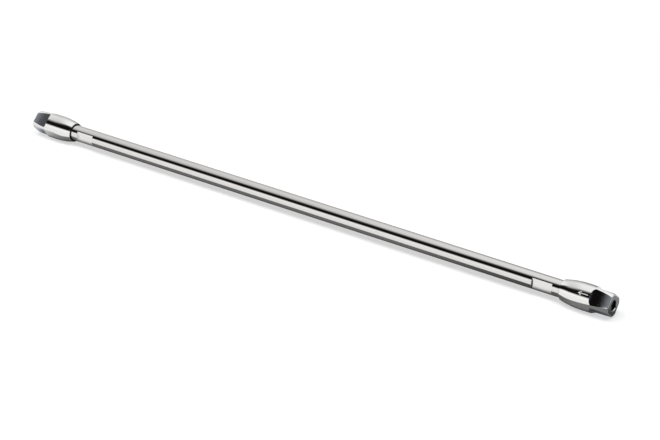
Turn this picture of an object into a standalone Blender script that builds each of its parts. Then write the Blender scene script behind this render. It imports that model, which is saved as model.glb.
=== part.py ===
"""Narrow-bore chromatography column: a packed steel tube with a screwed end fitting on each end.

The column lies along X on the barrels of its two end fittings, with the inlet at +X.
The floor is Z = 0 and the origin is under the middle of the tube. All sizes are in metres.
"""
import math

import bmesh
import bpy

# General
FIT = 0.0003                  # gap between two neighbouring pieces
FACETS = 64                   # sides of the turned outer forms
PORT_FACETS = 32              # sides of the small bores
EDGE_BREAK = 0.00012          # width of the deburred square edges

# Column tube
TUBE_LENGTH = 0.300
TUBE_RADIUS = 0.00397
BORE_RADIUS = 0.0023
SPIGOT_WALL = 0.0011          # turned-down end, from the bore to the root of its fine thread
SPIGOT_CHAMFER = 0.0002
THREAD_PITCH = 0.00075
THREAD_TURNS = 9              # turns of thread in engagement

# Wrench flats of the tube
TUBE_FLATS_ACROSS = 0.00595
TUBE_FLATS_LENGTH = 0.0101
TUBE_FLATS_OFFSET = 0.0041    # from the mouth of the end fitting to the first shoulder

# Frit held in its seal ring, at each end of the packed bed
FRIT_THICKNESS = 0.0020

# Barrel of the end fitting, from the mouth that the tube enters to the outer face
MOUTH_LAND = 0.00095          # plain counterbore in front of the thread
MOUTH_WALL = 0.0005
MOUTH_CHAMFER = 0.0004        # lead-in of the counterbore
CROWN_RISE = 0.00135          # crown radius over mouth radius
CROWN_START = 0.0105          # from the mouth
CROWN_LENGTH = 0.0024
FACE_DROP = 0.00077           # crown radius over the radius at the outer face
FACE_ROUND = 0.0005           # rounded edge of the outer face
ARC_STEPS = 7
ROUND_STEPS = 4

# Wrench flats of the end fitting
FITTING_FLATS = 4
FITTING_FLATS_ACROSS = 0.0094
FITTING_FLATS_LENGTH = 0.0077
RUN_OUT_RADIUS = 0.0015       # milled hollow between a flat and the barrel
RUN_OUT_STEPS = 8
INLET_FLAT_RISE = math.radians(39.7)    # how far the flat on the -Y side faces upwards
OUTLET_FLAT_RISE = math.radians(46.7)

# Coned tubing port, from the outer face to the frit's seat
PORT_RADIUS = 0.0024          # major radius of the port's thread
PORT_CHAMFER = 0.0002
PORT_THREAD_LENGTH = 0.0076
CONE_RADIUS = 0.0020
CONE_LENGTH = 0.0032
PILOT_RADIUS = 0.00082
PILOT_LENGTH = 0.0020
WEB_THICKNESS = 0.0015
FLOW_HOLE_RADIUS = 0.00025
DISTRIBUTOR_DEPTH = 0.0003

# Places that follow from the sizes
TUBE_END = TUBE_LENGTH / 2.0
THREAD_LENGTH = THREAD_PITCH * THREAD_TURNS
SPIGOT_LENGTH = THREAD_LENGTH + FIT
SPIGOT_RADIUS = BORE_RADIUS + SPIGOT_WALL
SOCKET_RADIUS = SPIGOT_RADIUS + FIT
MOUTH_BORE = TUBE_RADIUS + FIT
MOUTH_RADIUS = MOUTH_BORE + MOUTH_WALL
CROWN_RADIUS = MOUTH_RADIUS + CROWN_RISE
FACE_RADIUS = CROWN_RADIUS - FACE_DROP
SLEEVE_LENGTH = THREAD_LENGTH + MOUTH_LAND
FRIT_START = SLEEVE_LENGTH + FIT
SEAT_DEPTH = FRIT_START + FRIT_THICKNESS + FIT
PILOT_START = SEAT_DEPTH + WEB_THICKNESS
CONE_START = PILOT_START + PILOT_LENGTH
PORT_START = CONE_START + CONE_LENGTH
FITTING_LENGTH = PORT_START + PORT_THREAD_LENGTH
MOUTH_PLACE = TUBE_END - SLEEVE_LENGTH
FRIT_RADIUS = BORE_RADIUS
SEAL_INNER_RADIUS = FRIT_RADIUS + FIT
SEAL_OUTER_RADIUS = SPIGOT_RADIUS
BED_RADIUS = BORE_RADIUS - FIT
HALF_FACET = math.pi / FACETS
AXIS_HEIGHT = CROWN_RADIUS * math.cos(HALF_FACET)

# Shading, edge breaks and cutters
SHARP_ANGLE = math.radians(24.0)
SQUARE_ANGLE = math.radians(78.0)
CLEAR = 0.002                 # how far a cutter stands past what it cuts


def clear_scene():
    for item in list(bpy.data.objects):
        bpy.data.objects.remove(item, do_unlink=True)


def material(name, colour, roughness, metallic):
    finish = bpy.data.materials.new(name)
    finish.use_nodes = True
    shader = finish.node_tree.nodes["Principled BSDF"]
    shader.inputs["Base Color"].default_value = (*colour, 1.0)
    shader.inputs["Roughness"].default_value = roughness
    shader.inputs["Metallic"].default_value = metallic
    return finish


def add_object(name, mesh, finish=None):
    item = bpy.data.objects.new(name, mesh)
    bpy.context.scene.collection.objects.link(item)
    if finish:
        mesh.materials.append(finish)
    return item


def finish_mesh(form, name):
    """Turns a finished bmesh into a smooth-shaded mesh with its faces pointing out."""
    bmesh.ops.recalc_face_normals(form, faces=form.faces)
    mesh = bpy.data.meshes.new(name)
    form.to_mesh(mesh)
    form.free()
    mesh.shade_smooth()
    mesh.set_sharp_from_angle(angle=SHARP_ANGLE)
    return mesh


def turned(name, outline, facets, ring=False):
    """Revolves an outline of (distance along X, radius) points about X.

    A ring's outline closes on itself, and any other one starts and ends on the axis.
    """
    form = bmesh.new()
    start = math.pi / facets
    points = []
    for along, radius in outline:
        points.append(form.verts.new((along, radius * math.sin(start), radius * math.cos(start))))
    edges = [form.edges.new(pair) for pair in zip(points, points[1:])]
    if ring:
        edges.append(form.edges.new((points[-1], points[0])))
    bmesh.ops.spin(form, geom=points + edges, cent=(0, 0, 0), axis=(1, 0, 0),
                   angle=2.0 * math.pi, steps=facets, use_merge=True)
    bmesh.ops.remove_doubles(form, verts=form.verts, dist=1e-7)
    return finish_mesh(form, name)


def extruded(name, outline, width):
    """Extrudes an outline of (X, Z) points to a width centred on Y = 0."""
    form = bmesh.new()
    points = [form.verts.new((x, -width / 2.0, z)) for x, z in outline]
    face = form.faces.new(points)
    side = bmesh.ops.extrude_face_region(form, geom=[face])["geom"]
    moved = [item for item in side if isinstance(item, bmesh.types.BMVert)]
    bmesh.ops.translate(form, verts=moved, vec=(0.0, width, 0.0))
    return finish_mesh(form, name)


def cut(target, name, mesh, place=0.0, turn=0.0):
    """Cuts a shape out of its target, which carries the cutter at a place and turn on its axis."""
    cutter = add_object(name, mesh)
    cutter.parent = target
    cutter.location = (place, 0.0, 0.0)
    cutter.rotation_euler = (turn, 0.0, 0.0)
    cutter.hide_render = True
    cutter.display_type = "WIRE"
    boolean = target.modifiers.new(name, "BOOLEAN")
    boolean.operation = "DIFFERENCE"
    boolean.solver = "EXACT"
    boolean.object = cutter


def put_on_axis(item, along, reversed_end=False):
    """Places a piece on the column's axis, turned end for end on the outlet side."""
    item.location = (along, 0.0, AXIS_HEIGHT)
    item.rotation_euler = (0.0, 0.0, math.pi if reversed_end else 0.0)


def box_outline(low, high, bottom, top):
    return [(low, bottom), (high, bottom), (high, top), (low, top)]


def column_tube(finish):
    """The tube with a turned-down spigot at each end and two pairs of wrench flats."""
    shoulder = TUBE_END - SPIGOT_LENGTH
    tip = SPIGOT_RADIUS - SPIGOT_CHAMFER
    half = [
        (shoulder, TUBE_RADIUS),
        (shoulder, SPIGOT_RADIUS),
        (TUBE_END - SPIGOT_CHAMFER, SPIGOT_RADIUS),
        (TUBE_END, tip),
        (TUBE_END, BORE_RADIUS),
    ]
    outline = half + [(-along, radius) for along, radius in reversed(half)]
    tube = add_object("column_tube", turned("column_tube", outline, FACETS, ring=True), finish)
    put_on_axis(tube, 0.0)
    outer_shoulder = MOUTH_PLACE - TUBE_FLATS_OFFSET
    inner_shoulder = outer_shoulder - TUBE_FLATS_LENGTH
    flat = TUBE_FLATS_ACROSS / 2.0
    outline = box_outline(inner_shoulder, outer_shoulder, flat, TUBE_RADIUS + CLEAR)
    mesh = extruded("tube_flat_cutter", outline, 2.0 * (TUBE_RADIUS + CLEAR))
    for end in ("inlet", "outlet"):
        place = 0.0 if end == "inlet" else -(inner_shoulder + outer_shoulder)
        for side in (1, -1):
            cut(tube, f"tube_flat_{end}_{side}", mesh, place, side * math.pi / 2.0)
    return tube


def arc_to_crown(reach, rise):
    """Points (distance from the crown, drop below it) of an arc that leaves the crown level."""
    radius = (reach * reach + rise * rise) / (2.0 * rise)
    sweep = math.asin(reach / radius)
    angles = [sweep * step / ARC_STEPS for step in range(ARC_STEPS + 1)]
    return [(radius * math.sin(a), radius * (1.0 - math.cos(a))) for a in angles]


def face_round(radius):
    """Points of the rounded edge, from a side at a given radius to the outer face."""
    points = []
    for step in range(ROUND_STEPS + 1):
        angle = math.pi / 2.0 * step / ROUND_STEPS
        along = FITTING_LENGTH - FACE_ROUND * (1.0 - math.sin(angle))
        points.append((along, radius - FACE_ROUND * (1.0 - math.cos(angle))))
    return points


def barrel_outline():
    """The bullet-shaped outside, crowned nearer to its mouth than to its outer face."""
    crown_end = CROWN_START + CROWN_LENGTH
    rear = arc_to_crown(CROWN_START, CROWN_RISE)
    front = arc_to_crown(FITTING_LENGTH - FACE_ROUND - crown_end, FACE_DROP)
    outline = [(CROWN_START - away, CROWN_RADIUS - drop) for away, drop in reversed(rear)]
    outline += [(crown_end + away, CROWN_RADIUS - drop) for away, drop in front[:-1]]
    return outline + face_round(FACE_RADIUS)


def socket_outline():
    """The room for the tube's end and the frit: counterbore, thread bore, seat, distributor."""
    return [
        (0.0, MOUTH_BORE + MOUTH_CHAMFER),
        (MOUTH_CHAMFER, MOUTH_BORE),
        (MOUTH_LAND, MOUTH_BORE),
        (MOUTH_LAND, SOCKET_RADIUS),
        (SEAT_DEPTH, SOCKET_RADIUS),
        (SEAT_DEPTH, FRIT_RADIUS),
        (SEAT_DEPTH + DISTRIBUTOR_DEPTH, FLOW_HOLE_RADIUS),
    ]


def port_outline():
    """The tubing port: flow hole, pilot, sealing cone, thread and lead-in chamfer."""
    return [
        (PILOT_START, FLOW_HOLE_RADIUS),
        (PILOT_START, PILOT_RADIUS),
        (CONE_START, PILOT_RADIUS),
        (PORT_START, CONE_RADIUS),
        (PORT_START, PORT_RADIUS),
        (FITTING_LENGTH - PORT_CHAMFER, PORT_RADIUS),
        (FITTING_LENGTH, PORT_RADIUS + PORT_CHAMFER),
    ]


def flat_outline():
    """Side view of one milled flat, with its rounded outer edge and hollow run-out."""
    flat = FITTING_FLATS_ACROSS / 2.0
    inner_end = FITTING_LENGTH - FITTING_FLATS_LENGTH
    top = CROWN_RADIUS + CLEAR
    outer_end = FITTING_LENGTH + CLEAR
    outline = [(outer_end, top), (outer_end, flat - FACE_ROUND)] + face_round(flat)[::-1]
    for step in range(RUN_OUT_STEPS + 1):
        angle = math.pi / 2.0 * step / RUN_OUT_STEPS
        along = inner_end - RUN_OUT_RADIUS * math.sin(angle)
        outline.append((along, flat + RUN_OUT_RADIUS * (1.0 - math.cos(angle))))
    outline.append((inner_end - RUN_OUT_RADIUS, top))
    return outline


def end_fitting(end, rise, finish):
    """One turned and milled end fitting, with its mouth over the tube's spigot."""
    name = f"{end}_end_fitting"
    outlet = end == "outlet"
    flow_path = socket_outline() + port_outline()
    outline = barrel_outline() + flow_path[::-1]
    fitting = add_object(name, turned(name, outline, FACETS, ring=True), finish)
    put_on_axis(fitting, -MOUTH_PLACE if outlet else MOUTH_PLACE, outlet)
    flat = extruded(f"{end}_flat_cutter", flat_outline(), 2.0 * (CROWN_RADIUS + CLEAR))
    first = rise - math.pi / 2.0 if outlet else math.pi / 2.0 - rise
    for index in range(FITTING_FLATS):
        turn = first + 2.0 * math.pi * index / FITTING_FLATS
        cut(fitting, f"{end}_flat_{index + 1}", flat, 0.0, turn)
    edge = fitting.modifiers.new("edge_break", "BEVEL")
    edge.width = EDGE_BREAK
    edge.segments = 1
    edge.limit_method = "ANGLE"
    edge.angle_limit = SQUARE_ANGLE
    edge.use_clamp_overlap = False
    return fitting


def frit_and_seal(end, frit_finish, seal_finish):
    """The sintered disc that holds the packing back, and the ring that seals around it."""
    outlet = end == "outlet"
    near = TUBE_END + FIT
    disc = [(0.0, 0.0), (0.0, FRIT_RADIUS), (FRIT_THICKNESS, FRIT_RADIUS), (FRIT_THICKNESS, 0.0)]
    ring = box_outline(0.0, FRIT_THICKNESS, SEAL_INNER_RADIUS, SEAL_OUTER_RADIUS)
    frit = add_object(f"{end}_frit", turned(f"{end}_frit", disc, PORT_FACETS), frit_finish)
    seal_mesh = turned(f"{end}_seal_ring", ring, PORT_FACETS, ring=True)
    seal = add_object(f"{end}_seal_ring", seal_mesh, seal_finish)
    for item in (frit, seal):
        put_on_axis(item, -near if outlet else near, outlet)


def packed_bed(finish):
    """The packing, which fills the bore from frit to frit."""
    outline = [(-TUBE_END, 0.0), (-TUBE_END, BED_RADIUS), (TUBE_END, BED_RADIUS), (TUBE_END, 0.0)]
    bed = add_object("packed_bed", turned("packed_bed", outline, PORT_FACETS), finish)
    put_on_axis(bed, 0.0)


def main():
    clear_scene()
    tube_steel = material("tube_steel", (0.66, 0.66, 0.65), 0.22, 1.0)
    fitting_steel = material("fitting_steel", (0.70, 0.70, 0.69), 0.18, 1.0)
    sintered_steel = material("sintered_steel", (0.42, 0.42, 0.41), 0.65, 1.0)
    seal_polymer = material("seal_polymer", (0.62, 0.52, 0.36), 0.45, 0.0)
    packing = material("packing", (0.88, 0.87, 0.84), 0.90, 0.0)
    column_tube(tube_steel)
    packed_bed(packing)
    for end, rise in (("inlet", INLET_FLAT_RISE), ("outlet", OUTLET_FLAT_RISE)):
        end_fitting(end, rise, fitting_steel)
        frit_and_seal(end, sintered_steel, seal_polymer)


main()
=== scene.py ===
"""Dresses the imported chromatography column: polished steel, cut threads, studio light and camera."""
import math

import bmesh
import bpy
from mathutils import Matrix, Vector


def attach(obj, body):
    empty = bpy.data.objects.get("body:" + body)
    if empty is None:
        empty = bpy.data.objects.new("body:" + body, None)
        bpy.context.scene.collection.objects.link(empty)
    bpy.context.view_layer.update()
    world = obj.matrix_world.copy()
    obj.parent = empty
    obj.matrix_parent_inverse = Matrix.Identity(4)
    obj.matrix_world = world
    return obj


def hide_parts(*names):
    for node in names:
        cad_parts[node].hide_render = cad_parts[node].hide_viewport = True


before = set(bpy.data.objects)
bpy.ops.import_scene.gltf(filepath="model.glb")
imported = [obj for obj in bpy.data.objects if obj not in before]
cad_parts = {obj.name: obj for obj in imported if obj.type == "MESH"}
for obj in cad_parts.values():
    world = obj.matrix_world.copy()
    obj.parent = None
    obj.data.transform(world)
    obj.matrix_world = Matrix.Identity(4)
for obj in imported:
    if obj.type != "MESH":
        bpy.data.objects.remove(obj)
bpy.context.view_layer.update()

# Steps round a full circle, and along the arcs of an outline
FACETS = 256
THREAD_FACETS = 96
ARC_STEPS = 14
FACE_ROUND_STEPS = 8
RUN_OUT_STEPS = 24

# Keeps the round outside within the flats of the CAD's 64-sided forms
INSCRIBED = math.cos(math.pi / 64.0)

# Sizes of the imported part, in metres. Those of a fitting are counted from its mouth.
TUBE_END = 0.150
TUBE_RADIUS = 0.00397 * INSCRIBED
BORE_RADIUS = 0.0023
SHOULDER_CHAMFER = 0.0001
SPIGOT_RADIUS = 0.0034
SPIGOT_LENGTH = 0.00705
SPIGOT_CHAMFER = 0.0002
TUBE_FLATS_ACROSS = 0.00595
TUBE_FLATS_LENGTH = 0.0101
TUBE_FLATS_OFFSET = 0.0041
SLEEVE_LENGTH = 0.0077
MOUTH_LAND = 0.00095
MOUTH_PLACE = TUBE_END - SLEEVE_LENGTH
MOUTH_BORE = 0.00427
MOUTH_RADIUS = 0.00477 * INSCRIBED
MOUTH_CHAMFER = 0.0004
CROWN_RADIUS = 0.00612 * INSCRIBED
CROWN_START = 0.0105
CROWN_LENGTH = 0.0024
FACE_RADIUS = 0.00535 * INSCRIBED
FACE_ROUND = 0.0005
FITTING_LENGTH = 0.0246
SOCKET_RADIUS = 0.0037
SEAT_DEPTH = 0.0103
DISTRIBUTOR_DEPTH = 0.0003
FLOW_HOLE_RADIUS = 0.00025
PILOT_START = 0.0118
PILOT_RADIUS = 0.00082
CONE_START = 0.0138
CONE_RADIUS = 0.0020
PORT_START = 0.0170
PORT_RADIUS = 0.0024
PORT_CHAMFER = 0.0002
FITTING_FLATS = 4
FITTING_FLATS_ACROSS = 0.0094
FITTING_FLATS_LENGTH = 0.0077
RUN_OUT_RADIUS = 0.0015
FLAT_RISE = {"inlet": math.radians(39.7), "outlet": math.radians(46.7)}
AXIS_HEIGHT = CROWN_RADIUS
CLEAR = 0.002

# Widths of the broken edges
FITTING_EDGE = 0.00014
TUBE_EDGE = 0.00008

# Threads: pitches, crests, and where the ridges start and end
TUBE_PITCH = 0.00075
TUBE_CREST = 0.00365
SOCKET_CREST = 0.00345
TUBE_THREAD_LENGTH = 0.0070
TUBE_THREAD_MARGIN = 0.0001
PORT_PITCH = 0.000794
PORT_CREST = 0.0020
PORT_THREAD_INSET = 0.0003
PORT_THREAD_MARGIN = 0.0008

# A thread's ridge: half its foot and half its top in pitches, how deep it is sunk, and its run-in
HALF_FOOT = 0.46
HALF_TOP = 0.08
SUNK = 0.00003
FADE_RATE = 3.0
LEAST_HEIGHT = 0.02

# Angles in degrees above which an edge stays sharp, and above which it is broken
SHARP_TURNED = 14.0
SHARP_THREAD = 25.0
SHARP_ARROW = 40.0
BROKEN_FROM = 70.0

# Points nearer to each other than this, in metres, become one
TURNED_WELD = 1e-8
ARROW_WELD = 1e-7

# A cutter's face counts as square to X where its normal has more than this along X
SQUARE_TO_X = 0.99

# The range that noise mostly fills
NOISE_LOW = 0.3
NOISE_HIGH = 0.7

# Etched flow arrow, from its tip
ARROW_PLACE = 0.0099
ARROW_TURN = math.radians(51.2)
ARROW_LENGTH = 0.0046
ARROW_HEAD = 0.0013
ARROW_HALF_HEAD = 0.00085
ARROW_HALF_STROKE = 0.00017
ARROW_PROUD = 0.00001
HEAD_STEPS = 14
SHAFT_STEPS = 18

# Material slots of the turned pieces, and the steels that fill them; the cut steel in the inside slot is
# painted dark as shade
POLISHED = 0
MILLED = 1
FACED = 2
# Inside slot: bores, ports, fitting threads and inner steps, all painted dark as shade
INSIDE_PAINTED_SHADE = 3
FITTING_STEELS = ("polished", "milled", "faced", "cut")
TUBE_STEELS = ("ground", "planed", "faced", "cut")

# Light and dark colour, roughness, tool lines per axis, their height, and the roughness gained
# towards the outer end of a fitting
STEELS = {
    "polished": ((0.94, 0.935, 0.93), (0.90, 0.895, 0.89), 0.06, (26000.0, 90.0, 90.0), 4e-7, 0.0),
    "milled": ((0.79, 0.83, 0.91), (0.73, 0.77, 0.85), 0.07, (9000.0, 500.0, 500.0), 6e-7, 0.40),
    "faced": ((0.225, 0.23, 0.235), (0.19, 0.195, 0.20), 0.34, (400.0, 9000.0, 9000.0), 2e-6, 0.0),
    # cut: painted shade, a dark colour that stands for the shade inside bores, ports, fitting threads
    # and inner steps
    "cut": ((0.14, 0.135, 0.13), (0.08, 0.08, 0.08), 0.22, (12000.0, 400.0, 400.0), 1e-6, 0.0),
    "ground": ((0.83, 0.82, 0.805), (0.79, 0.78, 0.765), 0.06, (14000.0, 120.0, 120.0), 4e-7, 0.0),
    "planed": ((0.91, 0.90, 0.885), (0.87, 0.86, 0.85), 0.10, (14000.0, 300.0, 300.0), 6e-7, 0.0),
    "threaded": ((0.64, 0.635, 0.62), (0.54, 0.535, 0.52), 0.20, (12000.0, 400.0, 400.0), 1e-6, 0.0),
}

# What all steels share
LINE_DETAIL = 2.0
SMEARS = (55.0, 210.0, 210.0)
SMEAR_DETAIL = 4.0
SMEAR_NOISE = 0.6
SMEAR_ROUGHNESS = 0.03
SCRATCHES = (900.0, 5200.0, 700.0)
SCRATCH_DETAIL = 1.0
SCRATCH_LOW = 0.70
SCRATCH_HIGH = 0.74
SCRATCH_ROUGHNESS = 0.08
SCRATCH_STRENGTH = 0.6

# Where the wear of a fitting's flats starts and ends, in shares of their length from either end
WEAR_INSET = 0.22
WEAR_MARGIN = 0.1
WEAR_EASE = 0.2

# First and second colour, low and high roughness, grain per axis, its detail, its height, metallic
GRAINS = {
    "etched_mark": (
        (0.80, 0.80, 0.79), (0.70, 0.70, 0.69), 0.55, 0.75, (9000.0, 9000.0, 9000.0), 2.0, 2e-6, 0.0),
    "sintered_steel_grain": (
        (0.30, 0.30, 0.29), (0.52, 0.52, 0.50), 0.5, 0.8, (9000.0, 9000.0, 9000.0), 2.0, 4e-5, 1.0),
    "seal_polymer_turned": (
        (0.60, 0.50, 0.34), (0.66, 0.56, 0.40), 0.38, 0.52, (300.0, 7000.0, 7000.0), 2.0, 4e-6, 0.0),
    "silica_bed": (
        (0.80, 0.79, 0.76), (0.92, 0.91, 0.88), 0.8, 1.0, (16000.0, 16000.0, 16000.0), 3.0, 2e-5, 0.0),
}
HIDDEN_NODES = {
    "sintered_steel_grain": ("inlet_frit", "outlet_frit"),
    "seal_polymer_turned": ("inlet_seal_ring", "outlet_seal_ring"),
    "silica_bed": ("packed_bed",),
}

# Floor: its own white, its lift towards the camera near and far from the middle, and its glow in mirrors
FLOOR_SIZE = 12.0
FLOOR_ROUGHNESS = 0.9
FLOOR_WHITE = 0.53
FLOOR_LIFT = 0.55
LIFT_NEAR = 0.30
LIFT_FAR = 0.70
MIRRORED_FLOOR = 0.85
MIRRORED_GLOW = 0.04

# A painted shadow: the strip under the column that mirrored rays see darker. Places along it are shares
# of
# 0.4 m, places across it shares of 0.1 m, both from the middle at 0.5.
PAINTED_SHADOW_ALONG = 2.5
PAINTED_SHADOW_ACROSS = 10.0
PAINTED_SHADOW_NARROWING = (
    (0.0, 0.75), (0.10, 0.75), (0.125, 1.0), (0.825, 1.0), (0.85, 0.92), (0.875, 0.66), (0.89, 0.45),
    (0.91, 0.30),
)
PAINTED_SHADOW_WIDTH = ((0.384, 0.0), (0.392, 0.30), (0.406, 1.0), (0.54, 1.0), (0.60, 0.3), (0.66, 0.0))
PAINTED_SHADOW_LEVELS = (
    (0.085, 0.60), (0.115, 0.22), (0.135, 0.125), (0.65, 0.125), (0.75, 0.06), (0.8125, 0.04),
    (0.85, 0.09), (0.87, 0.16),
)

# Studio that mirrored rays see, by the angle round the column's axis in degrees from straight up:
# for rays that lean little along -X, more, and most
BLACK = (0.005, 0.004, 0.0035)
SKY_RIGHT = (
    (-180.0, 0.85), (-112.0, 0.75), (-100.0, 0.16), (-70.0, 0.14), (-56.0, 0.76), (-35.0, 0.98),
    (0.0, 0.98), (8.0, 0.92), (12.0, 0.80), (19.0, 0.08), (31.0, BLACK), (62.0, BLACK), (67.0, 0.46),
    (73.0, (0.97, 0.965, 0.955)), (110.0, (0.98, 0.975, 0.965)), (180.0, 0.85),
)
SKY_LEFT = (
    (-180.0, 0.85), (-108.0, 0.75), (-96.0, 0.45), (-75.0, 0.45), (-62.0, 0.60), (-35.0, 0.78),
    (-8.0, 0.71), (6.0, 0.64), (13.0, 0.57), (20.0, 0.38), (27.0, 0.11), (34.0, BLACK),
    (62.0, BLACK), (67.0, 0.50), (73.0, (0.97, 0.965, 0.95)), (110.0, (0.98, 0.975, 0.96)),
    (180.0, 0.85),
)
SKY_OUTER = (
    (-180.0, 0.85), (-108.0, 0.75), (-96.0, 0.64), (-75.0, 0.80), (-62.0, 0.86), (-35.0, 0.92),
    (0.0, 0.92), (7.0, 0.89), (15.0, 0.08), (27.0, BLACK), (58.0, BLACK), (63.0, 0.50),
    (69.0, (0.97, 0.965, 0.95)), (110.0, (0.98, 0.975, 0.96)), (180.0, 0.85),
)
LEFT_TO_RIGHT = (-0.60, -0.30)
LEFT_TO_OUTER = (-0.62, -0.74)
CLOSED_SIDES = ((0.80, 0.92), (-0.90, -0.97))
CLOSED_COLOUR = (0.02, 0.02, 0.03)
WHITE = (1.0, 1.0, 1.0)
WORLD_FILL = 0.30

# Softbox over the column, on the camera's side
SOFTBOX_POWER = 21.0
SOFTBOX_WIDTH = 1.6
SOFTBOX_DEPTH = 0.9
SOFTBOX_PLACE = Vector((0.0, -0.42, 1.5))

# Camera, at the photo's angle
SENSOR_WIDTH = 36.0
FOCAL_LENGTH_PIXELS = 2107.6
PICTURE_WIDTH_PIXELS = 660.0
NEAREST_SEEN = 0.01
CAMERA_PLACE = (0.53735, -0.70921, 0.43532)
CAMERA_FALL = 26.16
CAMERA_TURN = 36.28


# Mesh tools

def add_piece(name, mesh, body, nodes=()):
    piece = bpy.data.objects.new(name, mesh)
    bpy.context.scene.collection.objects.link(piece)
    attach(piece, body)
    if nodes:
        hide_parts(*nodes)


def turned_form(outline, finishes):
    """Revolves (along X, radius) points about X, with one finish for the band after each point."""
    form = bmesh.new()
    count = len(outline)
    rows = []
    for step in range(FACETS):
        angle = 2.0 * math.pi * step / FACETS
        rows.append([form.verts.new((x, r * math.sin(angle), r * math.cos(angle))) for x, r in outline])
    for step in range(FACETS):
        here = rows[step]
        there = rows[(step + 1) % FACETS]
        for band in range(count):
            after = (band + 1) % count
            face = form.faces.new((here[band], here[after], there[after], there[band]))
            face.material_index = finishes[band]
    bmesh.ops.remove_doubles(form, verts=form.verts, dist=TURNED_WELD)
    bmesh.ops.recalc_face_normals(form, faces=form.faces)
    return form


def mesh_of(form, name, finishes):
    mesh = bpy.data.meshes.new(name)
    form.to_mesh(mesh)
    form.free()
    for finish in finishes:
        mesh.materials.append(finish)
    return mesh


def cutter(name, outline, width, index, finishes, ends=None):
    """Extrudes an outline of (X, Z) points to a width centred on Y = 0.

    The faces square to X take their own indices, for -X and +X, where ends gives them.
    """
    form = bmesh.new()
    face = form.faces.new([form.verts.new((x, -width / 2.0, z)) for x, z in outline])
    side = bmesh.ops.extrude_face_region(form, geom=[face])["geom"]
    moved = [item for item in side if isinstance(item, bmesh.types.BMVert)]
    bmesh.ops.translate(form, verts=moved, vec=(0.0, width, 0.0))
    bmesh.ops.recalc_face_normals(form, faces=form.faces)
    for face in form.faces:
        face.material_index = index
        if ends and abs(face.normal.x) > SQUARE_TO_X:
            face.material_index = ends[0] if face.normal.x < 0.0 else ends[1]
    return mesh_of(form, name, finishes)


def carved(mesh, cuts, edge):
    """Cuts (cutter mesh, place on X, turn about X) out of a mesh and breaks its square edges."""
    scene = bpy.context.scene
    blank = bpy.data.objects.new("blank", mesh)
    scene.collection.objects.link(blank)
    tools = []
    for tool_mesh, place, turn in cuts:
        tool = bpy.data.objects.new("tool", tool_mesh)
        scene.collection.objects.link(tool)
        tool.location = (place, 0.0, 0.0)
        tool.rotation_euler = (turn, 0.0, 0.0)
        boolean = blank.modifiers.new("cut", "BOOLEAN")
        boolean.operation = "DIFFERENCE"
        boolean.solver = "EXACT"
        boolean.object = tool
        tools.append(tool)
    bevel = blank.modifiers.new("edge", "BEVEL")
    bevel.width = edge
    bevel.segments = 2
    bevel.limit_method = "ANGLE"
    bevel.angle_limit = math.radians(BROKEN_FROM)
    bevel.use_clamp_overlap = False
    bpy.context.view_layer.update()
    graph = bpy.context.evaluated_depsgraph_get()
    result = bpy.data.meshes.new_from_object(blank.evaluated_get(graph))
    for item in tools + [blank]:
        bpy.data.objects.remove(item, do_unlink=True)
    return result


def smooth(mesh, sharp_degrees):
    mesh.shade_smooth()
    mesh.set_sharp_from_angle(angle=math.radians(sharp_degrees))


def place_on_axis(mesh, along, reversed_end):
    """Moves a mesh built on X to the column's axis, turned end for end on the outlet side."""
    sign = -1.0 if reversed_end else 1.0
    for vertex in mesh.vertices:
        x, y, z = vertex.co
        vertex.co = (sign * (along + x), sign * y, z + AXIS_HEIGHT)


def thread_form(start, end, pitch, root, crest, phase=0.0):
    """A helical ridge between two places on X, from a root radius to a crest, fading at its ends."""
    form = bmesh.new()
    turns = (end - start) / pitch - 1.0
    steps = int(turns * THREAD_FACETS)
    sunk = SUNK if crest > root else -SUNK
    rows = []
    for step in range(steps + 1):
        turn = step / THREAD_FACETS
        fade = max(min(1.0, FADE_RATE * turn, FADE_RATE * (turns - turn)), LEAST_HEIGHT)
        height = (crest - root) * fade
        middle = start + pitch * (turn + 0.5)
        angle = 2.0 * math.pi * turn + phase
        section = (
            (-HALF_FOOT, root - sunk),
            (-HALF_FOOT, root),
            (-HALF_TOP, root + height),
            (HALF_TOP, root + height),
            (HALF_FOOT, root),
            (HALF_FOOT, root - sunk),
        )
        rows.append([
            form.verts.new((middle + share * pitch, r * math.sin(angle), r * math.cos(angle)))
            for share, r in section
        ])
    corners = len(rows[0])
    for here, there in zip(rows, rows[1:]):
        for index in range(corners):
            after = (index + 1) % corners
            form.faces.new((here[index], here[after], there[after], there[index]))
    form.faces.new(rows[0])
    form.faces.new(rows[-1])
    bmesh.ops.recalc_face_normals(form, faces=form.faces)
    return form


def add_thread(name, sizes, finish, along, outlet, body):
    """Adds a thread, made from thread_form's own values, at a place along the column."""
    ridge = mesh_of(thread_form(*sizes), name, [finish])
    smooth(ridge, SHARP_THREAD)
    place_on_axis(ridge, along, outlet)
    add_piece(name, ridge, body)


# Node tools

def new_material(name):
    finish = bpy.data.materials.new(name)
    finish.use_nodes = True
    return finish, finish.node_tree, finish.node_tree.nodes["Principled BSDF"]


def add_node(tree, kind, **values):
    item = tree.nodes.new(kind)
    for key, value in values.items():
        setattr(item, key, value)
    return item


def feed(tree, socket, value):
    """Sets a socket to a number or a colour, or links another socket to it."""
    if isinstance(value, (int, float)):
        socket.default_value = value
    elif isinstance(value, tuple):
        socket.default_value = (*value, 1.0)
    else:
        tree.links.new(value, socket)


def math_node(tree, operation, *values):
    item = add_node(tree, "ShaderNodeMath", operation=operation)
    for socket, value in zip(item.inputs, values):
        feed(tree, socket, value)
    return item.outputs[0]


def coordinates(tree, kind):
    return add_node(tree, "ShaderNodeTexCoord").outputs[kind]


def split(tree, vector):
    parts = add_node(tree, "ShaderNodeSeparateXYZ")
    tree.links.new(vector, parts.inputs["Vector"])
    return parts.outputs


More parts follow.
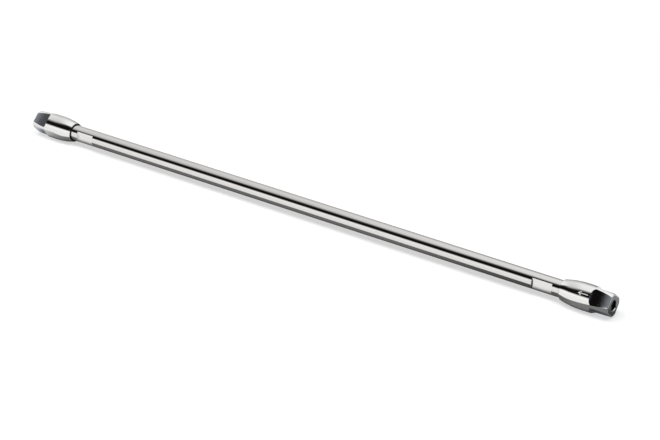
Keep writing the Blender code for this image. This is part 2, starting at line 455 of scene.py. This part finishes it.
def noise(tree, scale, detail, roughness=0.5):
    """Noise over the piece's own coordinates times a scale on each axis."""
    mapping = add_node(tree, "ShaderNodeMapping")
    mapping.inputs["Scale"].default_value = scale
    tree.links.new(coordinates(tree, "Object"), mapping.inputs["Vector"])
    item = add_node(tree, "ShaderNodeTexNoise")
    item.inputs["Scale"].default_value = 1.0
    item.inputs["Detail"].default_value = detail
    item.inputs["Roughness"].default_value = roughness
    tree.links.new(mapping.outputs["Vector"], item.inputs["Vector"])
    return item.outputs["Fac"]


def spread(tree, value, low, high, from_low=NOISE_LOW, from_high=NOISE_HIGH):
    """Maps a value, by default from the range that noise mostly fills, to low up to high."""
    item = add_node(tree, "ShaderNodeMapRange")
    item.inputs["From Min"].default_value = from_low
    item.inputs["From Max"].default_value = from_high
    item.inputs["To Min"].default_value = low
    item.inputs["To Max"].default_value = high
    tree.links.new(value, item.inputs["Value"])
    return item.outputs["Result"]


def eased(tree, value, start, stop):
    """Runs smoothly from 0 where the value is start to 1 where it is stop."""
    item = add_node(tree, "ShaderNodeMapRange", interpolation_type="SMOOTHSTEP")
    item.inputs["From Min"].default_value = start
    item.inputs["From Max"].default_value = stop
    tree.links.new(value, item.inputs["Value"])
    return item.outputs["Result"]


def grey(level):
    return (level, level, level)


def blended(tree, factor, first, second):
    item = add_node(tree, "ShaderNodeMix", data_type="RGBA")
    for name, value in (("Factor", factor), ("A", first), ("B", second)):
        feed(tree, item.inputs[name], value)
    return item.outputs["Result"]


def bump(tree, height, distance, strength=1.0, under=None):
    item = add_node(tree, "ShaderNodeBump")
    item.inputs["Distance"].default_value = distance
    item.inputs["Strength"].default_value = strength
    tree.links.new(height, item.inputs["Height"])
    if under is not None:
        tree.links.new(under, item.inputs["Normal"])
    return item.outputs["Normal"]


def level_ramp(tree, share, stops):
    """A ramp over a share from 0 to 1, with (place, colour or grey level) stops."""
    ramp = add_node(tree, "ShaderNodeValToRGB")
    elements = ramp.color_ramp.elements
    while len(elements) > 1:
        elements.remove(elements[-1])
    for index, (place, colour) in enumerate(stops):
        if isinstance(colour, float):
            colour = grey(colour)
        element = elements[0] if index == 0 else elements.new(place)
        element.position = place
        element.color = (*colour, 1.0)
    tree.links.new(share, ramp.inputs["Fac"])
    return ramp.outputs["Color"]


def turn_ramp(tree, share, stops):
    """A ramp over the angle round the column's axis, in degrees from straight up."""
    return level_ramp(tree, share, [(degrees / 360.0 + 0.5, colour) for degrees, colour in stops])


def ray_kinds(tree):
    """Whether a ray is the camera's, straight or through glass, and whether it was mirrored."""
    path = add_node(tree, "ShaderNodeLightPath")
    seen = math_node(tree, "MAXIMUM", path.outputs["Is Camera Ray"], path.outputs["Is Transmission Ray"])
    return seen, path.outputs["Is Glossy Ray"]


# Finishes

def finish_shader(tree, shader, colour, roughness, normal):
    for name, value in (("Base Color", colour), ("Roughness", roughness), ("Normal", normal)):
        tree.links.new(value, shader.inputs[name])


def outward(tree):
    """Grows from 0 near the inner end of a fitting's flats to 1 near its outer face."""
    away = math_node(tree, "ABSOLUTE", split(tree, coordinates(tree, "Object"))["X"])
    outer = MOUTH_PLACE + FITTING_LENGTH
    inner = outer - FITTING_FLATS_LENGTH
    start = inner + WEAR_INSET * FITTING_FLATS_LENGTH
    stop = outer - WEAR_MARGIN * FITTING_FLATS_LENGTH
    return math_node(tree, "SMOOTH_MIN", spread(tree, away, 0.0, 1.0, start, stop), 1.0, WEAR_EASE)


def steel(name, light, dark, roughness, line_scale, line_height, worn_end):
    """Stainless steel with fine tool lines, faint smears and a few scratches."""
    finish, tree, shader = new_material(name)
    shader.inputs["Metallic"].default_value = 1.0
    lines = noise(tree, line_scale, LINE_DETAIL)
    smears = noise(tree, SMEARS, SMEAR_DETAIL, SMEAR_NOISE)
    scratch = spread(tree, noise(tree, SCRATCHES, SCRATCH_DETAIL), 0.0, 1.0, SCRATCH_LOW, SCRATCH_HIGH)
    base = spread(tree, smears, roughness, roughness + SMEAR_ROUGHNESS)
    if worn_end:
        base = math_node(tree, "MULTIPLY_ADD", outward(tree), worn_end, base)
    scratched = math_node(tree, "MULTIPLY_ADD", scratch, SCRATCH_ROUGHNESS, base)
    fine = bump(tree, lines, line_height)
    normal = bump(tree, scratch, line_height, SCRATCH_STRENGTH, fine)
    finish_shader(tree, shader, blended(tree, smears, light, dark), scratched, normal)
    return finish


def grained(name):
    """A finish with one fine grain in its colour, roughness and surface."""
    first, second, low, high, scale, detail, height, metallic = GRAINS[name]
    finish, tree, shader = new_material(name)
    shader.inputs["Metallic"].default_value = metallic
    grain = noise(tree, scale, detail)
    colour = blended(tree, grain, first, second)
    finish_shader(tree, shader, colour, spread(tree, grain, low, high), bump(tree, grain, height))
    return finish


def dress_hidden_nodes():
    """The frits, seal rings and packing keep their solids and get finer finishes."""
    for name, nodes in HIDDEN_NODES.items():
        finish = grained(name)
        for node in nodes:
            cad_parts[node].data.materials[0] = finish


# Pieces

def arc_to_crown(reach, rise):
    """(Distance from the crown, drop) points of an arc that is level at the crown."""
    radius = (reach * reach + rise * rise) / (2.0 * rise)
    sweep = math.asin(reach / radius)
    angles = [sweep * step / ARC_STEPS for step in range(ARC_STEPS + 1)]
    return [(radius * math.sin(a), radius * (1.0 - math.cos(a))) for a in angles]


def face_round(radius):
    """The rounded edge between a fitting's side at this radius and its outer face."""
    points = []
    for step in range(FACE_ROUND_STEPS + 1):
        angle = math.pi / (2.0 * FACE_ROUND_STEPS) * step
        along = FITTING_LENGTH - FACE_ROUND * (1.0 - math.sin(angle))
        points.append((along, radius - FACE_ROUND * (1.0 - math.cos(angle))))
    return points


def barrel_outline():
    """The fitting's outside from its mouth over the crown to its face."""
    crown_end = CROWN_START + CROWN_LENGTH
    rear = arc_to_crown(CROWN_START, CROWN_RADIUS - MOUTH_RADIUS)
    front = arc_to_crown(FITTING_LENGTH - FACE_ROUND - crown_end, CROWN_RADIUS - FACE_RADIUS)
    outline = [(CROWN_START - away, CROWN_RADIUS - drop) for away, drop in reversed(rear)]
    outline += [(crown_end + away, CROWN_RADIUS - drop) for away, drop in front[:-1]]
    return outline + face_round(FACE_RADIUS)


def flat_outline():
    """What the mill takes off for one flat, with its hollow run-out."""
    flat = FITTING_FLATS_ACROSS / 2.0
    inner_end = FITTING_LENGTH - FITTING_FLATS_LENGTH
    top = CROWN_RADIUS + CLEAR
    outer_end = FITTING_LENGTH + CLEAR
    outline = [(outer_end, top), (outer_end, flat - FACE_ROUND)] + face_round(flat)[::-1]
    for step in range(RUN_OUT_STEPS + 1):
        angle = math.pi / 2.0 * step / RUN_OUT_STEPS
        along = inner_end - RUN_OUT_RADIUS * math.sin(angle)
        outline.append((along, flat + RUN_OUT_RADIUS * (1.0 - math.cos(angle))))
    outline.append((inner_end - RUN_OUT_RADIUS, top))
    return outline


def make_fitting(end, finishes):
    barrel = barrel_outline()
    # The port, bores and socket take the inside slot, painted dark as shade
    inside = [
        (FITTING_LENGTH, PORT_RADIUS + PORT_CHAMFER, POLISHED),
        (FITTING_LENGTH - PORT_CHAMFER, PORT_RADIUS, INSIDE_PAINTED_SHADE),
        (PORT_START, PORT_RADIUS, INSIDE_PAINTED_SHADE),
        (PORT_START, CONE_RADIUS, INSIDE_PAINTED_SHADE),
        (CONE_START, PILOT_RADIUS, INSIDE_PAINTED_SHADE),
        (PILOT_START, PILOT_RADIUS, INSIDE_PAINTED_SHADE),
        (PILOT_START, FLOW_HOLE_RADIUS, INSIDE_PAINTED_SHADE),
        (SEAT_DEPTH + DISTRIBUTOR_DEPTH, FLOW_HOLE_RADIUS, INSIDE_PAINTED_SHADE),
        (SEAT_DEPTH, BORE_RADIUS, INSIDE_PAINTED_SHADE),
        (SEAT_DEPTH, SOCKET_RADIUS, INSIDE_PAINTED_SHADE),
        (MOUTH_LAND, SOCKET_RADIUS, INSIDE_PAINTED_SHADE),
        (MOUTH_LAND, MOUTH_BORE, INSIDE_PAINTED_SHADE),
        (MOUTH_CHAMFER, MOUTH_BORE, INSIDE_PAINTED_SHADE),
        (0.0, MOUTH_BORE + MOUTH_CHAMFER, POLISHED),
    ]
    outline = barrel + [(x, r) for x, r, kind in inside]
    kinds = [POLISHED] * (len(barrel) - 1) + [FACED] + [kind for x, r, kind in inside]
    blank = mesh_of(turned_form(outline, kinds), f"{end}_blank", finishes)
    flat = cutter("flat", flat_outline(), 2.0 * (CROWN_RADIUS + CLEAR), MILLED, finishes)
    outlet = end == "outlet"
    rise = FLAT_RISE[end]
    first = rise - math.pi / 2.0 if outlet else math.pi / 2.0 - rise
    cuts = [(flat, 0.0, first + 2.0 * math.pi * index / FITTING_FLATS) for index in range(FITTING_FLATS)]
    mesh = carved(blank, cuts, FITTING_EDGE)
    smooth(mesh, SHARP_TURNED)
    place_on_axis(mesh, MOUTH_PLACE, outlet)
    body = f"{end}_fitting"
    add_piece(f"{end}_fitting_turned", mesh, body, [f"{end}_end_fitting"])
    port_start = PORT_START + PORT_THREAD_INSET
    port_stop = FITTING_LENGTH - PORT_THREAD_MARGIN
    socket_stop = MOUTH_LAND + TUBE_THREAD_LENGTH
    threads = {
        "port_thread": (port_start, port_stop, PORT_PITCH, PORT_RADIUS, PORT_CREST),
        "socket_thread": (MOUTH_LAND, socket_stop, TUBE_PITCH, SOCKET_RADIUS, SOCKET_CREST, math.pi),
    }
    for name, sizes in threads.items():
        # The fittings' threads take the cut steel, painted dark as shade
        add_thread(f"{end}_{name}", sizes, finishes[INSIDE_PAINTED_SHADE], MOUTH_PLACE, outlet, body)


def make_tube(finishes, thread_finish):
    shoulder = TUBE_END - SPIGOT_LENGTH
    # The spigot and the bore take the inside slot, painted dark as shade
    half = [
        (shoulder - SHOULDER_CHAMFER, TUBE_RADIUS, POLISHED),
        (shoulder, TUBE_RADIUS - SHOULDER_CHAMFER, FACED),
        (shoulder, SPIGOT_RADIUS, INSIDE_PAINTED_SHADE),
        (TUBE_END - SPIGOT_CHAMFER, SPIGOT_RADIUS, INSIDE_PAINTED_SHADE),
        (TUBE_END, SPIGOT_RADIUS - SPIGOT_CHAMFER, FACED),
        (TUBE_END, BORE_RADIUS, INSIDE_PAINTED_SHADE),
    ]
    far = [(-x, r) for x, r, kind in reversed(half)]
    outline = [(x, r) for x, r, kind in half] + far
    kinds = [kind for x, r, kind in half] + [FACED, INSIDE_PAINTED_SHADE, INSIDE_PAINTED_SHADE, FACED, POLISHED, POLISHED]
    blank = mesh_of(turned_form(outline, kinds), "tube_blank", finishes)
    outer = MOUTH_PLACE - TUBE_FLATS_OFFSET
    inner = outer - TUBE_FLATS_LENGTH
    flat = TUBE_FLATS_ACROSS / 2.0
    top = TUBE_RADIUS + CLEAR
    taken_off = [(inner, flat), (outer, flat), (outer, top), (inner, top)]
    cuts = []
    # The end walls at the flats' inner ends take the inside slot, painted dark as shade in that step
    for place, ends in ((0.0, (INSIDE_PAINTED_SHADE, FACED)), (-(inner + outer), (MILLED, INSIDE_PAINTED_SHADE))):
        tool = cutter("tube_flat", taken_off, 2.0 * top, MILLED, finishes, ends)
        for turn in (math.pi / 2.0, -math.pi / 2.0):
            cuts.append((tool, place, turn))
    mesh = carved(blank, cuts, TUBE_EDGE)
    smooth(mesh, SHARP_TURNED)
    place_on_axis(mesh, 0.0, False)
    add_piece("column_tube_polished", mesh, "column", ["column_tube"])
    sizes = (-TUBE_THREAD_LENGTH, -TUBE_THREAD_MARGIN, TUBE_PITCH, SPIGOT_RADIUS, TUBE_CREST)
    for end in ("inlet", "outlet"):
        outlet = end == "outlet"
        add_thread(f"{end}_tube_thread", sizes, thread_finish, TUBE_END, outlet, "column")


def barrel_point(along, turn, proud):
    """A place on the inlet fitting's barrel, at an angle from straight up towards -Y."""
    outline = barrel_outline()
    for (x0, r0), (x1, r1) in zip(outline, outline[1:]):
        if x0 <= along <= x1:
            radius = r0 + (r1 - r0) * (along - x0) / (x1 - x0) + proud
            height = AXIS_HEIGHT + radius * math.cos(turn)
            return (MOUTH_PLACE + along, -radius * math.sin(turn), height)
    raise ValueError("the place is not on the barrel")


def arrow_strips():
    """The arrow's two head strokes, its shaft and its tip, each between two lines, with its steps."""
    rise = ARROW_HALF_HEAD / math.hypot(ARROW_HEAD, ARROW_HALF_HEAD)
    run = ARROW_HEAD / math.hypot(ARROW_HEAD, ARROW_HALF_HEAD)
    tip = (-ARROW_HALF_STROKE / rise, 0.0)
    outer = (ARROW_HEAD - ARROW_HALF_STROKE * rise, ARROW_HALF_HEAD + ARROW_HALF_STROKE * run)
    inner = (ARROW_HEAD + ARROW_HALF_STROKE * rise, ARROW_HALF_HEAD - ARROW_HALF_STROKE * run)
    joint = (ARROW_HALF_STROKE * (1.0 + run) / rise, ARROW_HALF_STROKE)
    tail = (ARROW_LENGTH, ARROW_HALF_STROKE)
    low_outer, low_inner, low_joint, low_tail = [(x, -y) for x, y in (outer, inner, joint, tail)]
    return (
        (tip, outer, joint, inner, HEAD_STEPS),
        (tip, low_outer, low_joint, low_inner, HEAD_STEPS),
        (joint, tail, low_joint, low_tail, SHAFT_STEPS),
        (tip, joint, tip, low_joint, 1),
    )


def make_arrow(finish):
    """A plain etched flow arrow on the inlet barrel, pointing into the column."""
    form = bmesh.new()
    for first, first_end, second, second_end, steps in arrow_strips():
        rows = []
        for step in range(steps + 1):
            share = step / steps
            row = []
            for start, stop in ((first, first_end), (second, second_end)):
                along = ARROW_PLACE + start[0] + (stop[0] - start[0]) * share
                turn = ARROW_TURN + (start[1] + (stop[1] - start[1]) * share) / CROWN_RADIUS
                row.append(form.verts.new(barrel_point(along, turn, ARROW_PROUD)))
            rows.append(row)
        for here, there in zip(rows, rows[1:]):
            form.faces.new((here[0], there[0], there[1], here[1]))
    bmesh.ops.remove_doubles(form, verts=form.verts, dist=ARROW_WELD)
    for face in form.faces:
        middle = face.calc_center_median() - Vector((0.0, 0.0, AXIS_HEIGHT))
        if face.normal.dot(Vector((0.0, middle.y, middle.z))) < 0.0:
            face.normal_flip()
    arrow = mesh_of(form, "flow_arrow", [finish])
    smooth(arrow, SHARP_ARROW)
    add_piece("flow_arrow", arrow, "inlet_fitting")


# Studio

def make_floor():
    """White floor that keeps the shadow, with a painted shadow under the column that only reflections
    see.
    """
    bpy.ops.mesh.primitive_plane_add(size=FLOOR_SIZE, location=(0.0, 0.0, 0.0))
    floor = bpy.context.object
    floor.name = "studio_floor"
    finish, tree, shader = new_material("white_floor")
    shader.inputs["Roughness"].default_value = FLOOR_ROUGHNESS
    shader.inputs["Specular IOR Level"].default_value = 0.0
    shader.inputs["Emission Color"].default_value = (*WHITE, 1.0)
    place = coordinates(tree, "Object")
    parts = split(tree, place)
    # Painted shadow under the column for mirrored rays: where it lies, how its width changes along X,
    # and how dark it is
    along = math_node(tree, "MULTIPLY_ADD", parts["X"], PAINTED_SHADOW_ALONG, 0.5)
    narrowed = math_node(tree, "MULTIPLY", parts["Y"], level_ramp(tree, along, PAINTED_SHADOW_NARROWING))
    across = math_node(tree, "MAXIMUM", narrowed, parts["Y"])
    share = math_node(tree, "MULTIPLY_ADD", across, PAINTED_SHADOW_ACROSS, 0.5)
    under = level_ramp(tree, share, PAINTED_SHADOW_WIDTH)
    # The mirrored floor's white, darkened by the painted shadow under the column
    shade = blended(tree, under, grey(MIRRORED_FLOOR), level_ramp(tree, along, PAINTED_SHADOW_LEVELS))
    seen, mirrored = ray_kinds(tree)
    colour = blended(tree, mirrored, grey(FLOOR_WHITE), shade)
    tree.links.new(colour, shader.inputs["Base Color"])
    distance = add_node(tree, "ShaderNodeVectorMath", operation="LENGTH")
    tree.links.new(place, distance.inputs[0])
    lift = spread(tree, distance.outputs["Value"], FLOOR_LIFT, 1.0, LIFT_NEAR, LIFT_FAR)
    direct = math_node(tree, "MULTIPLY", seen, lift)
    glow = math_node(tree, "MULTIPLY", mirrored, MIRRORED_GLOW)
    tree.links.new(math_node(tree, "ADD", direct, glow), shader.inputs["Emission Strength"])
    floor.data.materials.append(finish)


def make_world():
    """A studio that only mirrored rays see: white, with a dark gap over the camera side and dark ends.

    The camera sees plain white, and other rays an even fill.
    """
    world = bpy.data.worlds.new("studio")
    bpy.context.scene.world = world
    world.use_nodes = True
    tree = world.node_tree
    background = tree.nodes["Background"]
    parts = split(tree, coordinates(tree, "Generated"))
    forward = math_node(tree, "MULTIPLY", parts["Y"], -1.0)
    angle = math_node(tree, "ARCTAN2", forward, parts["Z"])
    share = math_node(tree, "MULTIPLY_ADD", angle, 1.0 / (2.0 * math.pi), 0.5)
    left, right, outer = [turn_ramp(tree, share, stops) for stops in (SKY_LEFT, SKY_RIGHT, SKY_OUTER)]
    sky = blended(tree, eased(tree, parts["X"], *LEFT_TO_RIGHT), left, right)
    sky = blended(tree, eased(tree, parts["X"], *LEFT_TO_OUTER), sky, outer)
    sides = [eased(tree, parts["X"], *side) for side in CLOSED_SIDES]
    sky = blended(tree, math_node(tree, "MAXIMUM", *sides), sky, CLOSED_COLOUR)
    seen, mirrored = ray_kinds(tree)
    soft = blended(tree, mirrored, grey(WORLD_FILL), sky)
    tree.links.new(blended(tree, seen, soft, WHITE), background.inputs["Color"])
    background.inputs["Strength"].default_value = 1.0


def make_softbox():
    lamp = bpy.data.lights.new("softbox", "AREA")
    lamp.shape = "RECTANGLE"
    lamp.size = SOFTBOX_WIDTH
    lamp.size_y = SOFTBOX_DEPTH
    lamp.energy = SOFTBOX_POWER
    item = bpy.data.objects.new("softbox", lamp)
    item.location = SOFTBOX_PLACE
    item.rotation_euler = (-SOFTBOX_PLACE).to_track_quat("-Z", "Y").to_euler()
    item.visible_glossy = False
    bpy.context.scene.collection.objects.link(item)


def make_camera():
    lens = bpy.data.cameras.new("camera")
    lens.sensor_width = SENSOR_WIDTH
    lens.lens = FOCAL_LENGTH_PIXELS / PICTURE_WIDTH_PIXELS * SENSOR_WIDTH
    lens.clip_start = NEAREST_SEEN
    item = bpy.data.objects.new("camera", lens)
    item.location = CAMERA_PLACE
    item.rotation_euler = (math.radians(90.0 - CAMERA_FALL), 0.0, math.radians(CAMERA_TURN))
    bpy.context.scene.collection.objects.link(item)
    bpy.context.scene.camera = item


def main():
    steels = {name: steel(f"{name}_steel", *values) for name, values in STEELS.items()}
    make_tube([steels[name] for name in TUBE_STEELS], steels["threaded"])
    for end in ("inlet", "outlet"):
        make_fitting(end, [steels[name] for name in FITTING_STEELS])
    make_arrow(grained("etched_mark"))
    dress_hidden_nodes()
    make_floor()
    make_world()
    make_softbox()
    make_camera()
    bpy.context.scene.view_settings.view_transform = "Standard"


main()
bpy.context.view_layer.update()
